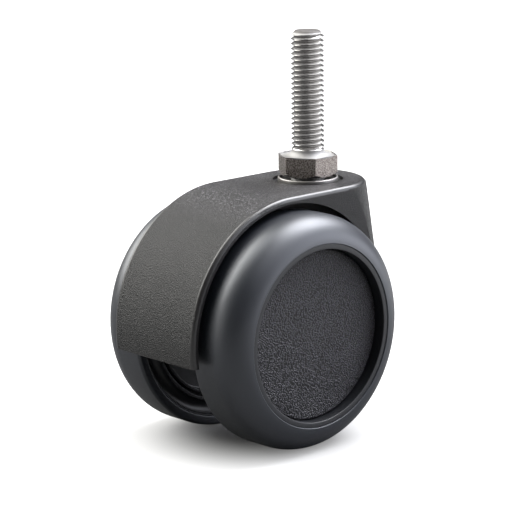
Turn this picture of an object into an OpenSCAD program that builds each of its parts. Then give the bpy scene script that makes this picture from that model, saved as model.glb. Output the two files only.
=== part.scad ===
// Twin-wheel swivel castor with a hooded moulded housing and a threaded stem.
// Row frame: origin on the swivel axis at the top of the hexagon, where the straight shank
// begins, +Z up the stem, +Y along the axle, and the wheels trail towards -X.

/* [Threaded stem] */
// Outside diameter over the thread crests
thread_d = 9.9; // [9:0.1:10]
// Length from the top of the hexagon to the tip
thread_l = 37.2; // [25:0.1:45]
// Chamfer at the tip of the thread
tip_chamfer = 1.3; // [0.8:0.1:1.8]
// Hexagon size across its flats
hex_af = 16; // [15:0.5:17]
// Height of the hexagon
hex_h = 6; // [4:0.5:9]
// Depth of the turned face, which leaves the corners standing, and of the fillet on it
hex_face_sink = 0.4; // [0.2:0.1:0.6]
// How far the turned face reaches past the flats, on the radius
hex_face_over = 0.45; // [0.3:0.05:0.6]
// Height of the chamfer that is turned under the hexagon
hex_chamfer = 1.1; // [0.6:0.1:1.6]
// Diameter of the swivel journal
journal_d = 11; // [10:0.5:12]
// Diameter of the wire that the retaining ring is bent from
ring_wire_d = 1.2; // [0.8:0.1:1.6]

/* [Swivel bearing] */
// Running clearance between a shaft and its bore, on the radius
running_gap = 0.05; // [0.03:0.01:0.09]
// Clear gap between pieces that move past each other
moving_gap = 0.3; // [0.3:0.05:0.5]
// Wall of the sleeve that is pressed into the housing
bush_wall = 1.45; // [1:0.05:2]
// Length of that sleeve under its flange
bush_l = 18; // [10:1:20]
// Diameter of the sleeve's flange
flange_d = 18.2; // [17.5:0.1:20]
// How far the flange's raised rim stands over the housing
rim_rise = 0.8; // [0.4:0.1:1.2]
// Wall of that raised rim
rim_wall = 0.7; // [0.5:0.1:1]
// Gap between the rim and the hexagon
hex_gap = 0.7; // [0.4:0.1:1.5]
// Thickness of the disc that the end of the stem bears on
thrust_t = 1.5; // [1:0.1:2]

/* [Wheels] */
// Diameter over the tread
wheel_d = 70; // [67:0.5:74]
// Distance between the inner faces of the two tyres
wheel_gap = 24.6; // [23:0.2:28]
// Width of one tyre
tyre_w = 17.5; // [16.5:0.1:19]
// Radius of the tyre's rounded outer shoulder
shoulder_r = 8.7; // [7.5:0.1:9.5]
// Rounding of the tyre's inner edge
tyre_edge_r = 0.85; // [0.5:0.05:1.2]
// Thickness of the tyre over the rim of the core
tyre_t = 3.6; // [3:0.1:4]
// Height of the tyre's visible inner side face
tyre_side_h = 2.8; // [2:0.1:3.2]

/* [Wheel core] */
// Diameter of the recess that holds the cap
recess_d = 51; // [48:0.5:52]
// Width of the bare ring between the recess and the tyre
rim_ring_w = 1.6; // [1:0.1:2]
// Depth from that ring to the face of the cap
recess_depth = 3; // [2:0.1:3.6]
// How far the core's faces lie back from the tyre's
core_sink = 0.3; // [0.2:0.05:0.5]
// Thickness of the flange that holds the tyre's inner edge
core_flange_t = 2; // [1.8:0.1:2.6]
// Thickness of the disc between hub and rim
web_t = 2.5; // [2:0.1:3.5]
// Diameter of the hub
hub_d = 16; // [14:0.5:18]
// Thickness of the ribs behind the cap
core_rib_t = 1.6; // [1:0.1:2.4]
// Number of those ribs
core_ribs = 6; // [3:1:10]
// Flat land left round the dished ring on the core's inner side
dish_land = 0.4; // [0.3:0.1:0.8]
// Width of each of the two raised rings on the core's inner side
step_w = 0.9; // [0.6:0.1:1.2]

/* [Caps] */
// Thickness of the cap's disc
cap_t = 1.6; // [1.2:0.1:2.2]
// Gap round the cap
cap_gap = 0.2; // [0.1:0.05:0.3]
// Chamfer round the cap's face
cap_chamfer = 0.5; // [0.3:0.1:0.8]
// Height of the cap's snap ring
snap_h = 2; // [1.2:0.1:2.6]
// Wall of the cap's snap ring
snap_wall = 1.5; // [1:0.1:2]

/* [Axle] */
// Diameter of the axle
axle_d = 8; // [7:0.5:9]
// Chamfer at the ends of the axle
axle_chamfer = 0.5; // [0.3:0.1:0.8]
// Length of the axle beyond each retaining clip
axle_tail = 0.8; // [0.6:0.1:1]
// Thickness of the washers
washer_t = 0.8; // [0.5:0.1:1]
// Thickness of the retaining clips
clip_t = 0.8; // [0.6:0.1:1]
// Outside diameter of washers and clips
clip_d = 14; // [12:0.5:15]
// Depth of the clip's groove in the axle
groove_depth = 0.8; // [0.5:0.1:1]

/* [Hood] */
// Distance from the axle back to the swivel axis
stem_offset = 23.1; // [21:0.1:26]
// Width of the hood
hood_w = 34.6; // [33:0.2:37]
// Wall of the hood
hood_wall = 2; // [1.6:0.1:2.6]
// Gap between the tread and the inside of the hood
hood_gap = 2.2; // [1.6:0.1:3]
// Rounding of the hood's outer edges
hood_edge_r = 1.3; // [0.8:0.1:1.5]
// Rounding of the edges inside the hood's top
inner_edge_r = 0.6; // [0.4:0.1:1]
// Draft angle of the nose
nose_draft = 8; // [4:1:10]
// Height of the nose's lower edge over the axle
nose_z = 4.5; // [0:0.5:8]
// How far the back of the hood reaches below the axle
back_drop = 5; // [2:0.5:8]
// Wall of the inner box that carries stem and axle
box_wall = 2.5; // [2:0.1:3.5]
// Outside diameter of the boss round the axle
boss_d = 18; // [16:0.5:20]
// Wall of the socket round the sleeve
socket_wall = 3; // [2.4:0.1:3.5]
// Thickness of the ribs in the housing
rib_t = 2.4; // [1.6:0.1:3]
// Depth of the stiffening rib under the back of the hood
back_rib_h = 4; // [3:0.5:6]
// Width of the open ring round the flange in the top of the housing
counterbore_gap = 1.5; // [0.8:0.1:2]
// Depth of that ring
counterbore_depth = 1; // [0.6:0.1:1.4]

/* [Hidden] */

$fn = 96;
// Overlap between joined bodies, and how far a cutting body reaches past what it cuts
eps = 0.01;
cut = 1;

// Heights along the swivel axis, down from the seating plane
rim_top_z = -hex_h - hex_gap;
hood_top_z = rim_top_z - rim_rise;
hood_r = wheel_d / 2 + hood_gap + hood_wall;
axle_z = hood_top_z - hood_r;
flange_seat_z = hood_top_z - counterbore_depth;
socket_floor_z = axle_z + nose_floor(stem_offset) + socket_wall;
stem_end_z = socket_floor_z + thrust_t + moving_gap;

// The stem
hex_r = hex_af / 2 / cos(30);
hex_face_r = hex_af / 2 + hex_face_over;
hex_chamfer_angle = 42;
journal_r = journal_d / 2;
ring_r = journal_r - ring_wire_d / 4;
ring_over_end = 5;
ring_z = stem_end_z + ring_over_end;
ring_slack = 0.05;
stem_end_chamfer = 1;

// The bearing's bores
bush_r = journal_r + running_gap + bush_wall;
socket_r = bush_r + socket_wall;
counterbore_r = flange_d / 2 + counterbore_gap;

// The wheels, where w is measured outwards from the castor's middle plane
tyre_in_w = wheel_gap / 2;
tyre_out_w = tyre_in_w + tyre_w;
wheel_r = wheel_d / 2;
shoulder_w = tyre_out_w - shoulder_r;
shoulder_c = wheel_r - shoulder_r;
rim_r = wheel_r - tyre_t;
flange_r = wheel_r - tyre_side_h;
recess_r = recess_d / 2;
drum_r = recess_r + rim_ring_w;
core_in_w = tyre_in_w + core_sink;
core_out_w = tyre_out_w - core_sink;
cap_face_w = core_out_w - recess_depth;
cap_back_w = cap_face_w - cap_t;
ledge_w = 2;
cap_ledge_r = recess_r - ledge_w;
step_sink = 0.2;
step_groove_h = 2;
step_r = drum_r + step_w / 2;
deep_r = step_r - 3 * step_w;

// Hub, washer and clip, from the boss outwards
box_side_gap = 0.7;
box_half = tyre_in_w - box_side_gap;
hub_in_w = box_half + moving_gap;
hub_sink = 3.4;
hub_out_w = cap_back_w - hub_sink;
washer_w = hub_out_w + moving_gap;
clip_w = washer_w + washer_t;
axle_end_w = clip_w + clip_t + axle_tail;
web_sink = 1.8;
web_w = hub_out_w - web_sink - web_t;

// The hood
half_w = hood_w / 2;
well_r = hood_r - hood_wall;
nose_reach = stem_offset + half_w + hood_r * tan(nose_draft);

plastic_black = [0.13, 0.13, 0.13];
tyre_grey = [0.20, 0.21, 0.23];
core_grey = [0.16, 0.16, 0.17];
bright_steel = [0.78, 0.77, 0.75];

// Height of the housing's slanting underside over the axle, at x ahead of it
function nose_floor(x) = -boss_d / 2 + (nose_z + boss_d / 2) * x / (stem_offset + hood_w / 2);

// Moves what is drawn round the axle's centre to its place in the row frame
module at_axle() {
    translate([-stem_offset, 0, axle_z]) children();
}

// Turns what is drawn along +Z so that it lies along +Y
module along_axle() {
    rotate([-90, 0, 0]) children();
}

// Places a left-hand piece, or its mirror image for the right-hand side
module on_side(side) {
    at_axle() mirror([0, side == "left" ? 0 : 1, 0]) along_axle() children();
}

// A cylinder between two heights
module disc(r, z0, z1) {
    translate([0, 0, z0]) cylinder(r=r, h=z1 - z0);
}

// A cylinder with a chamfer at its upper end
module chamfered_end(r, z0, z1, c) {
    disc(r, z0, z1 - c);
    translate([0, 0, z1 - c]) cylinder(r1=r, r2=r - c, h=c);
}

// A cylinder between two heights with chamfers at both ends
module chamfered_pin(r, z0, z1, c) {
    translate([0, 0, z0]) cylinder(r1=r - c, r2=r, h=c);
    chamfered_end(r, z0 + c, z1, c);
}

// Fillet at the foot of a shank of radius r, standing on z = 0
module shank_foot(r, f) {
    rotate_extrude() difference() {
        square([r + f, f]);
        translate([r + f, f]) circle(r=f);
    }
}

// The hexagon, with its turned top face and the chamfer under it
module stem_hexagon() {
    difference() {
        intersection() {
            translate([0, 0, -hex_h]) cylinder(r=hex_r, h=hex_h, $fn=6);
            union() {
                translate([0, 0, -hex_h])
                    cylinder(r1=hex_r - hex_chamfer / tan(hex_chamfer_angle), r2=hex_r,
                             h=hex_chamfer);
                disc(hex_r, -hex_h + hex_chamfer, 0);
            }
        }
        disc(hex_face_r, -hex_face_sink, eps);
    }
}

module stem() {
    color(bright_steel) {
        stem_hexagon();
        chamfered_end(thread_d / 2, -hex_face_sink - eps, thread_l, tip_chamfer);
        translate([0, 0, -hex_face_sink]) shank_foot(thread_d / 2, hex_face_sink);
        difference() {
            mirror([0, 0, 1])
                chamfered_end(journal_r, hex_h - eps, -stem_end_z, stem_end_chamfer);
            difference() {
                disc(journal_r + cut, ring_z - ring_wire_d / 2 - ring_slack,
                     ring_z + ring_wire_d / 2 + ring_slack);
                disc(ring_r - ring_wire_d / 2 - ring_slack, ring_z - ring_wire_d,
                     ring_z + ring_wire_d);
            }
        }
    }
}

// Split wire ring that holds the stem up in its socket
module stem_retaining_ring() {
    ring_opening = 40;
    color("silver") translate([0, 0, ring_z]) rotate([0, 0, 180 + ring_opening / 2])
        rotate_extrude(angle=360 - ring_opening)
            translate([ring_r, 0]) circle(d=ring_wire_d, $fn=32);
}

// Flanged steel sleeve, with the raised rim that shows round the hexagon
module swivel_bush() {
    color(bright_steel) difference() {
        union() {
            disc(bush_r, flange_seat_z - bush_l, flange_seat_z + eps);
            disc(flange_d / 2, flange_seat_z, rim_top_z);
        }
        disc(flange_d / 2 - rim_wall, hood_top_z, rim_top_z + eps);
        disc(journal_r + running_gap, flange_seat_z - bush_l - eps, rim_top_z);
    }
}

module thrust_disc() {
    color("gray") disc(journal_r - running_gap, socket_floor_z, socket_floor_z + thrust_t);
}

// Cross-section of the hood: a height from r0 to r1, with the outer edges rounded
module hood_section(r0, r1, half, edge) {
    difference() {
        translate([r0, -half]) square([r1 - r0, 2 * half]);
        for (side = [-1, 1]) translate([r1 - edge, side * (half - edge)]) difference() {
            translate([0, side > 0 ? 0 : -edge - eps]) square(edge + eps);
            circle(r=edge);
        }
    }
}

// Half of the nose's outline, for turning about the swivel axis
module nose_outline(top, half, edge, draft) {
    union() {
        polygon([
            [0, 0], [half + (top - edge) * tan(draft), 0], [half, top - edge],
            [half - edge, top - edge], [half - edge, top], [0, top]
        ]);
        translate([half - edge, top - edge]) circle(r=edge);
    }
}

// Top and nose of the hood as one solid, over the plane of the axle
module top_and_nose(top, half, edge) {
    translate([stem_offset, 0, 0]) rotate([0, -90, 0])
        linear_extrude(height=stem_offset) hood_section(0, top, half, edge);
    intersection() {
        translate([stem_offset, 0, 0])
            rotate_extrude() nose_outline(top, half, edge, nose_draft);
        translate([stem_offset, -half, 0]) cube([nose_reach, 2 * half, top]);
    }
}

// The back of the hood, wrapped round the wheels
module hood_back() {
    sweep = 110;
    intersection() {
        rotate([90, 0, 0]) rotate([0, 0, 90]) rotate_extrude(angle=sweep)
            hood_section(well_r, hood_r, half_w, hood_edge_r);
        translate([-hood_r - cut, -half_w, -back_drop])
            cube([hood_r + cut, hood_w, hood_r + back_drop + cut]);
    }
}

// Top and nose as a shell, cut out round the two wheels
module hood_top() {
    difference() {
        top_and_nose(hood_r, half_w, hood_edge_r);
        top_and_nose_space();
        rotate([90, 0, 0]) cylinder(r=well_r, h=hood_w + 2 * cut, center=true);
        below_slant(hood_w);
    }
}

// The space inside the top and the nose
module top_and_nose_space() {
    top_and_nose(well_r, half_w - hood_wall, inner_edge_r);
}

// Side view of the inner box, from the back of the axle's boss to the nose, between the
// slanting underside and the middle of the hood's wall
module box_outline() {
    back_x = -boss_d / 2;
    roof_z = well_r + hood_wall / 2;
    polygon([
        [back_x, 0], [back_x, sqrt(roof_z * roof_z - back_x * back_x)], [0, roof_z],
        [nose_reach, roof_z], [nose_reach, nose_floor(nose_reach)], [0, nose_floor(0)]
    ]);
}

// A side view given a width along the axle
module across(width) {
    rotate([90, 0, 0]) linear_extrude(height=width, center=true) children();
}

// Everything under the slanting underside
module below_slant(width) {
    front_x = nose_reach + cut;
    across(width + 2 * cut) polygon([
        [0, nose_floor(0)], [front_x, nose_floor(front_x)], [front_x, -hood_r], [0, -hood_r]
    ]);
}

// The box between the wheels, open below, with its socket, boss and middle rib
module inner_box() {
    boss_r = boss_d / 2;
    difference() {
        intersection() {
            across(2 * box_half) box_outline();
            box_envelope(0);
        }
        intersection() {
            across(2 * (box_half - box_wall))
                translate([-boss_r + box_wall, -hood_r])
                    square([nose_reach + boss_r, hood_r + well_r]);
            box_envelope(box_wall);
        }
    }
    intersection() {
        across(rib_t) box_outline();
        box_envelope(0);
    }
    translate([stem_offset, 0, 0])
        disc(socket_r, nose_floor(stem_offset), well_r + hood_wall / 2);
    along_axle() disc(boss_r, -box_half, box_half);
}

// What bounds the inner box in front: the nose, less a wall, run on below the axle
module box_envelope(wall) {
    depth = boss_d;
    translate([-boss_d, -hood_w, -depth])
        cube([stem_offset + boss_d, 2 * hood_w, hood_r + depth]);
    translate([stem_offset, 0, -depth]) cylinder(
        r1=half_w - wall + (hood_r + depth) * tan(nose_draft), r2=half_w - wall,
        h=hood_r + depth
    );
}

// Stiffening rib under the back of the hood
module back_rib() {
    start = 95;
    sweep = 80;
    rotate([90, 0, 0]) rotate([0, 0, start]) rotate_extrude(angle=sweep)
        translate([well_r - back_rib_h, -rib_t / 2]) square([back_rib_h + hood_wall / 2, rib_t]);
}

// Bores for sleeve, stem, retaining ring and axle, and the open ring at the top
module housing_bores() {
    journal_bore_r = journal_r + running_gap;
    ring_space_r = ring_r + ring_wire_d / 2 + moving_gap;
    ring_space_h = ring_wire_d / 2 + moving_gap;
    disc(journal_bore_r, socket_floor_z, hood_top_z + cut);
    disc(bush_r, flange_seat_z - bush_l, hood_top_z + cut);
    disc(counterbore_r, flange_seat_z, hood_top_z + cut);
    disc(ring_space_r, ring_z - ring_space_h, ring_z + ring_space_h);
    at_axle() along_axle() disc(axle_d / 2, -box_half - cut, box_half + cut);
}

module housing() {
    color(plastic_black) difference() {
        at_axle() {
            hood_back();
            hood_top();
            inner_box();
            back_rib();
        }
        housing_bores();
    }
}

// Steel axle, with a groove for a clip near each end
module axle() {
    axle_r = axle_d / 2;
    color("silver") at_axle() along_axle() difference() {
        chamfered_pin(axle_r, -axle_end_w, axle_end_w, axle_chamfer);
        for (side = [0, 1]) mirror([0, 0, side]) difference() {
            disc(axle_r + cut, clip_w, clip_w + clip_t);
            disc(axle_r - groove_depth, clip_w - cut, clip_w + clip_t + cut);
        }
    }
}

// Retaining clip with three prongs that grip the groove, and an open mouth
module clip_outline() {
    prong_w = 2.6;
    prong_foot = 0.5;
    band_w = 1.6;
    grip_r = axle_d / 2 - groove_depth;
    band_r = clip_d / 2 - band_w;
    difference() {
        union() {
            difference() {
                circle(d=clip_d);
                circle(r=band_r);
            }
            for (a = [90, 210, 330]) rotate(a) translate([grip_r, -prong_w / 2])
                square([band_r + prong_foot - grip_r, prong_w]);
        }
        circle(r=grip_r);
        translate([-grip_r, -clip_d]) square([2 * grip_r, clip_d]);
    }
}

module axle_clip(side) {
    color("silver") on_side(side) translate([0, 0, clip_w])
        linear_extrude(height=clip_t) clip_outline();
}

module axle_washer(side) {
    color("silver") on_side(side) difference() {
        disc(clip_d / 2, washer_w, washer_w + washer_t);
        disc(axle_d / 2 + running_gap, washer_w - cut, washer_w + washer_t + cut);
    }
}

// Outside of the core, where the tyre is moulded on: flange, rim, shoulder and lip
module core_envelope() {
    seat_r = shoulder_r - tyre_t;
    translate([0, core_in_w]) square([flange_r, core_flange_t]);
    translate([0, core_in_w]) square([rim_r, shoulder_w - core_in_w]);
    translate([0, core_in_w]) square([drum_r, core_out_w - core_in_w]);
    intersection() {
        translate([shoulder_c, shoulder_w]) circle(r=seat_r);
        translate([0, shoulder_w]) square([rim_r, seat_r]);
    }
    translate([0, shoulder_w]) square([shoulder_c, seat_r]);
}

// Hollows of the core: recess, space behind the cap, the dished ring and the deep middle
module core_hollows() {
    hub_r = hub_d / 2;
    dish_r = flange_r - dish_land;
    translate([0, cap_back_w]) square([recess_r, recess_depth + cap_t + cut]);
    translate([0, hub_out_w]) square([cap_ledge_r, cap_back_w]);
    translate([hub_r, web_w + web_t]) square([cap_ledge_r - hub_r, cap_back_w - web_w - web_t]);
    translate([(dish_r + step_r) / 2, core_in_w]) circle(d=dish_r - step_r);
    translate([0, core_in_w - cut]) square([step_r + step_w, step_sink + cut]);
    translate([step_r - 2 * step_w, core_in_w - cut]) square([step_w, step_groove_h + cut]);
    translate([hub_r, core_in_w - cut]) square([deep_r - hub_r, web_w - core_in_w + cut]);
}

// The moulded core of a wheel: rim, disc, hub and the ribs behind the cap
module wheel_core(side) {
    hub_r = hub_d / 2;
    rib_top_w = cap_back_w - snap_h - moving_gap;
    rib_bite = 0.5;
    color(core_grey) on_side(side) difference() {
        union() {
            rotate_extrude() difference() {
                core_envelope();
                core_hollows();
            }
            disc(hub_r, hub_in_w, hub_out_w);
            for (i = [0 : core_ribs - 1]) rotate([0, 0, i * 360 / core_ribs])
                translate([hub_r - rib_bite, -core_rib_t / 2, web_w + web_t - eps]) cube([
                    cap_ledge_r - hub_r + 2 * rib_bite, core_rib_t,
                    rib_top_w - web_w - web_t + eps
                ]);
        }
        disc(axle_d / 2 + running_gap, hub_in_w - cut, hub_out_w + cut);
    }
}

// The tyre, moulded round the core, with a square-shouldered inner edge and a round outer one
module tyre(side) {
    color(tyre_grey) on_side(side) rotate_extrude() difference() {
        union() {
            translate([drum_r, tyre_in_w]) square([wheel_r - drum_r, shoulder_w - tyre_in_w]);
            intersection() {
                translate([shoulder_c, shoulder_w]) circle(r=shoulder_r);
                translate([drum_r, shoulder_w]) square([wheel_r, shoulder_r]);
            }
        }
        translate([wheel_r - tyre_edge_r, tyre_in_w + tyre_edge_r]) difference() {
            translate([0, -tyre_edge_r - eps]) square(tyre_edge_r + eps);
            circle(r=tyre_edge_r);
        }
        core_envelope();
        translate([0, tyre_in_w - cut]) square([flange_r, core_sink + cut + eps]);
    }
}

// The cap that closes the recess, with a chamfered edge and a snap ring behind
module wheel_cap(side) {
    cap_r = recess_r - cap_gap;
    snap_r = cap_ledge_r - cap_gap;
    color(plastic_black) on_side(side) {
        chamfered_end(cap_r, cap_back_w, cap_face_w, cap_chamfer);
        difference() {
            disc(snap_r, cap_back_w - snap_h, cap_back_w + eps);
            disc(snap_r - snap_wall, cap_back_w - snap_h - cut, cap_back_w);
        }
    }
}

stem();
stem_retaining_ring();
swivel_bush();
thrust_disc();
housing();
axle();
axle_clip("left");  // axle_clip_left
axle_clip("right");  // axle_clip_right
axle_washer("left");  // axle_washer_left
axle_washer("right");  // axle_washer_right
wheel_core("left");  // wheel_core_left
wheel_core("right");  // wheel_core_right
tyre("left");  // tyre_left
tyre("right");  // tyre_right
wheel_cap("left");  // wheel_cap_left
wheel_cap("right");  // wheel_cap_right
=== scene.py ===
"""Twin-wheel furniture castor: a turned threaded stem, a moulded hood and two soft-tread wheels."""
import logging
from collections.abc import Iterator, Sequence
from contextlib import contextmanager
from dataclasses import dataclass
from enum import Enum
from math import acos, atan2, cos, pi, radians, sin, sqrt, tan

import bpy
from mathutils import Matrix, Vector


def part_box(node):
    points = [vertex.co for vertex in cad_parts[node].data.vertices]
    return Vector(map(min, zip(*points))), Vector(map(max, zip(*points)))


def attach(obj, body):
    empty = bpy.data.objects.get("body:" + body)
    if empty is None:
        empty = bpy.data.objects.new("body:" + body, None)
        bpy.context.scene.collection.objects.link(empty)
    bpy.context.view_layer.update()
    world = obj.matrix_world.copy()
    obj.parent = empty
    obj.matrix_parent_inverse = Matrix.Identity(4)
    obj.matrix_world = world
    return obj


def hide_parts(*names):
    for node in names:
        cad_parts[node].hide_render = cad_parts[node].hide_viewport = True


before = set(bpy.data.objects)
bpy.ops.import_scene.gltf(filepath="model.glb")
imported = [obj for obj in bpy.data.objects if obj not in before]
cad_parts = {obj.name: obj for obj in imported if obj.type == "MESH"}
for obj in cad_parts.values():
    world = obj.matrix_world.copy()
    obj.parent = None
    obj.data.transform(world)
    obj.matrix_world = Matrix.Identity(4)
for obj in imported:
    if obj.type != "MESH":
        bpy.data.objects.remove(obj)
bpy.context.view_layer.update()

MM = 0.001
FULL_TURN = 2 * pi

# Radii of rounded edges, in millimetres
FINE, CRISP, SMALL, EASED, SOFT = 0.1, 0.15, 0.2, 0.25, 0.3

# The inputs of a colour mix by number, and its colour output
MIX_SOCKETS = (0, 6, 7)
MIX_RESULT = 2

Outline = list[tuple[float, float]]
Colour = tuple[float, float, float, float]
Piece = bpy.types.Object
Finish = bpy.types.Material
Node = bpy.types.Node
Socket = bpy.types.NodeSocket
Tree = bpy.types.NodeTree

log = logging.getLogger("castor")


class Side(Enum):
    """The two sides of the castor, with the direction of each along the axle."""

    LEFT = 1
    RIGHT = -1

    @property
    def word(self) -> str:
        """The side's name as the nodes spell it."""
        return self.name.lower()


@dataclass(frozen=True)
class Corner:
    """A corner of an outline: radius and height in millimetres, and how far it is rounded."""

    r: float
    z: float
    rounding: float = 0.0


def rounded(corners: list[Corner], closed: bool = True, arc_step: float = 12.0) -> Outline:
    """Turns corners into the points of an outline, with an arc in place of each rounded corner.

    Args:
        corners: The outline's corners in order.
        closed: Whether the last corner joins the first.
        arc_step: The largest turn between two points of an arc, in degrees.

    Returns:
        The points as pairs of radius and height in millimetres.
    """
    points: Outline = []
    count = len(corners)
    for i, corner in enumerate(corners):
        inner = closed or 0 < i < count - 1
        if corner.rounding <= 0 or not inner:
            points.append((corner.r, corner.z))
            continue
        here = Vector((corner.r, corner.z))
        before = corners[i - 1]
        after = corners[(i + 1) % count]
        to_before = (Vector((before.r, before.z)) - here).normalized()
        to_after = (Vector((after.r, after.z)) - here).normalized()
        half_angle = acos(max(-1.0, min(1.0, to_before.dot(to_after)))) / 2
        reach = corner.rounding / tan(half_angle)
        centre = here + (to_before + to_after).normalized() * corner.rounding / sin(half_angle)
        first = here + to_before * reach - centre
        last = here + to_after * reach - centre
        start = atan2(first.y, first.x)
        sweep = (atan2(last.y, last.x) - start + pi) % FULL_TURN - pi
        steps = max(2, round(abs(sweep) / radians(arc_step)))
        for k in range(steps + 1):
            angle = start + sweep * k / steps
            points.append((
                centre.x + corner.rounding * cos(angle), centre.y + corner.rounding * sin(angle),
            ))
    return points


def arc(centre: tuple[float, float], radius: float, first: float, last: float,
        steps: int) -> list[Corner]:
    """Gives the corners along an arc, with angles in degrees from the direction of r towards z."""
    turns = [radians(first + (last - first) * k / steps) for k in range(steps + 1)]
    return [Corner(centre[0] + radius * cos(t), centre[1] + radius * sin(t)) for t in turns]


class Bench:
    """The steps that every piece is modelled with."""

    @staticmethod
    def clear() -> None:
        """Leaves edit mode and deselects everything."""
        if bpy.context.object is not None and bpy.context.object.mode != "OBJECT":
            bpy.ops.object.mode_set(mode="OBJECT")
        bpy.ops.object.select_all(action="DESELECT")

    @staticmethod
    def pick(piece: Piece) -> None:
        """Makes one piece the selected and active one."""
        Bench.clear()
        piece.select_set(True)
        bpy.context.view_layer.objects.active = piece

    @staticmethod
    def draw(name: str, points: Outline, closed: bool) -> Piece:
        """Draws an outline in the plane of X and Z, point by point, and stays in edit mode.

        Args:
            name: The name of the new piece.
            points: The outline's points as radius and height in millimetres.
            closed: Whether the last point is joined to the first.

        Returns:
            The piece, which holds only the outline's edges.
        """
        Bench.clear()
        bpy.ops.mesh.primitive_plane_add(size=MM, location=(0, 0, 0))
        piece = bpy.context.active_object
        piece.name = name
        piece.data.name = name
        bpy.ops.object.mode_set(mode="EDIT")
        bpy.ops.mesh.select_all(action="SELECT")
        bpy.ops.mesh.merge(type="CENTER")
        loop = points + points[:1] if closed else points
        here = (0.0, 0.0)
        for i, point in enumerate(loop):
            move = ((point[0] - here[0]) * MM, 0, (point[1] - here[1]) * MM)
            if i == 0:
                bpy.ops.transform.translate(value=move)
            else:
                bpy.ops.mesh.extrude_region_move(TRANSFORM_OT_translate={"value": move})
            here = point
        bpy.ops.mesh.select_all(action="SELECT")
        bpy.ops.mesh.remove_doubles(threshold=MM * 1e-4)
        return piece

    @staticmethod
    @contextmanager
    def opened(piece: Piece) -> Iterator[None]:
        """Holds a piece in edit mode with all of it selected."""
        Bench.pick(piece)
        bpy.ops.object.mode_set(mode="EDIT")
        bpy.ops.mesh.select_all(action="SELECT")
        yield
        bpy.ops.object.mode_set(mode="OBJECT")

    @staticmethod
    def trim(place: Sequence[float], outward: Sequence[float]) -> None:
        """Cuts an open piece off beyond a plane and caps the cut."""
        bpy.ops.mesh.select_all(action="SELECT")
        bpy.ops.mesh.bisect(plane_co=place, plane_no=outward, clear_outer=True, use_fill=True)

    @staticmethod
    def close(threshold: float = 1e-3) -> None:
        """Merges doubles within a threshold in millimetres and turns all faces outwards."""
        bpy.ops.mesh.select_all(action="SELECT")
        bpy.ops.mesh.remove_doubles(threshold=threshold * MM)
        bpy.ops.mesh.normals_make_consistent(inside=False)

    @staticmethod
    def lathe(name: str, points: Outline, steps: int = 128,
              closed: bool = True) -> Piece:
        """Turns an outline about the Z axis into a closed piece.

        Args:
            name: The name of the new piece.
            points: The outline's points as radius and height in millimetres.
            steps: The number of steps in a full turn.
            closed: Whether the outline is a ring; an open one starts and ends on the axis.

        Returns:
            The turned piece, in object mode.
        """
        piece = Bench.draw(name, points, closed)
        bpy.ops.mesh.spin(steps=steps, angle=FULL_TURN, center=(0, 0, 0), axis=(0, 0, 1))
        Bench.close()
        bpy.ops.object.mode_set(mode="OBJECT")
        return piece

    @staticmethod
    def use(piece: Piece, kind: str, **settings: object) -> None:
        """Adds a modifier with its settings and applies it."""
        Bench.pick(piece)
        modifier = piece.modifiers.new(kind.lower(), kind)
        for key, value in settings.items():
            setattr(modifier, key, value)
        bpy.ops.object.modifier_apply(modifier=modifier.name)

    @staticmethod
    def combine(piece: Piece, other: Piece, operation: str) -> None:
        """Joins, cuts or trims a piece with another one, which is used up."""
        Bench.use(piece, "BOOLEAN", object=other, operation=operation, solver="EXACT")
        bpy.data.objects.remove(other)

    @staticmethod
    def settle(piece: Piece, smooth_angle: float = 30.0) -> Piece:
        """Puts a piece's place into its mesh and shades it smooth up to an angle in degrees."""
        Bench.pick(piece)
        bpy.ops.object.transform_apply(location=True, rotation=True, scale=True)
        bpy.ops.object.shade_smooth_by_angle(angle=radians(smooth_angle))
        return piece


class Nodes:
    """A node tree under construction, with short calls for its nodes."""

    def __init__(self, tree: Tree) -> None:
        """Starts work on a tree, which may hold nodes already."""
        self.tree = tree

    def add(self, kind: str, settings: dict[str, object] | None = None,
            **inputs: object) -> Node:
        """Adds a node, sets its options, and sets or links its inputs.

        Args:
            kind: The node's type, without its prefix.
            settings: The node's options by attribute name.
            inputs: Input values or sockets by name, with underscores for spaces.

        Returns:
            The new node.
        """
        node = self.tree.nodes.new("ShaderNode" + kind)
        for key, value in (settings or {}).items():
            setattr(node, key, value)
        for key, value in inputs.items():
            self.feed(node, key.replace("_", " "), value)
        return node

    def feed(self, node: Node, socket: str | int, value: object) -> None:
        """Sets one input of a node to a value, or links a socket to it."""
        if isinstance(value, Socket):
            self.tree.links.new(value, node.inputs[socket])
        else:
            node.inputs[socket].default_value = value

    def group(self, tree: Tree, place: Socket, per_m: float) -> bpy.types.NodeOutputs:
        """Adds a shared effect at a scale in features per metre and gives its outputs."""
        node = self.add("Group", {"node_tree": tree})
        self.feed(node, 0, place)
        self.feed(node, 1, per_m)
        return node.outputs

    def math(self, operation: str, *values: object) -> Socket:
        """Joins numbers and sockets by one step of arithmetic."""
        step = self.add("Math", {"operation": operation})
        for k, value in enumerate(values):
            self.feed(step, k, value)
        return step.outputs[0]

    def vector(self, operation: str, *values: object) -> Node:
        """Joins vectors by one step of vector arithmetic."""
        step = self.add("VectorMath", {"operation": operation})
        for k, value in enumerate(values):
            self.feed(step, k, value)
        return step

    def blend(self, factor: object, first: object, second: object) -> Socket:
        """Blends from a first colour at 0 to a second one at 1."""
        mix = self.add("Mix", {"data_type": "RGBA"})
        for socket, value in zip(MIX_SOCKETS, (factor, first, second)):
            self.feed(mix, socket, value)
        return mix.outputs[MIX_RESULT]

    def ramp(self, value: object, smooth: bool = False, **limits: float) -> Socket:
        """Maps a value from one range to another, both 0 to 1 where no limit is given."""
        kind = "SMOOTHSTEP" if smooth else "LINEAR"
        return self.add("MapRange", {"interpolation_type": kind}, Value=value, **limits).outputs[0]


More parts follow.
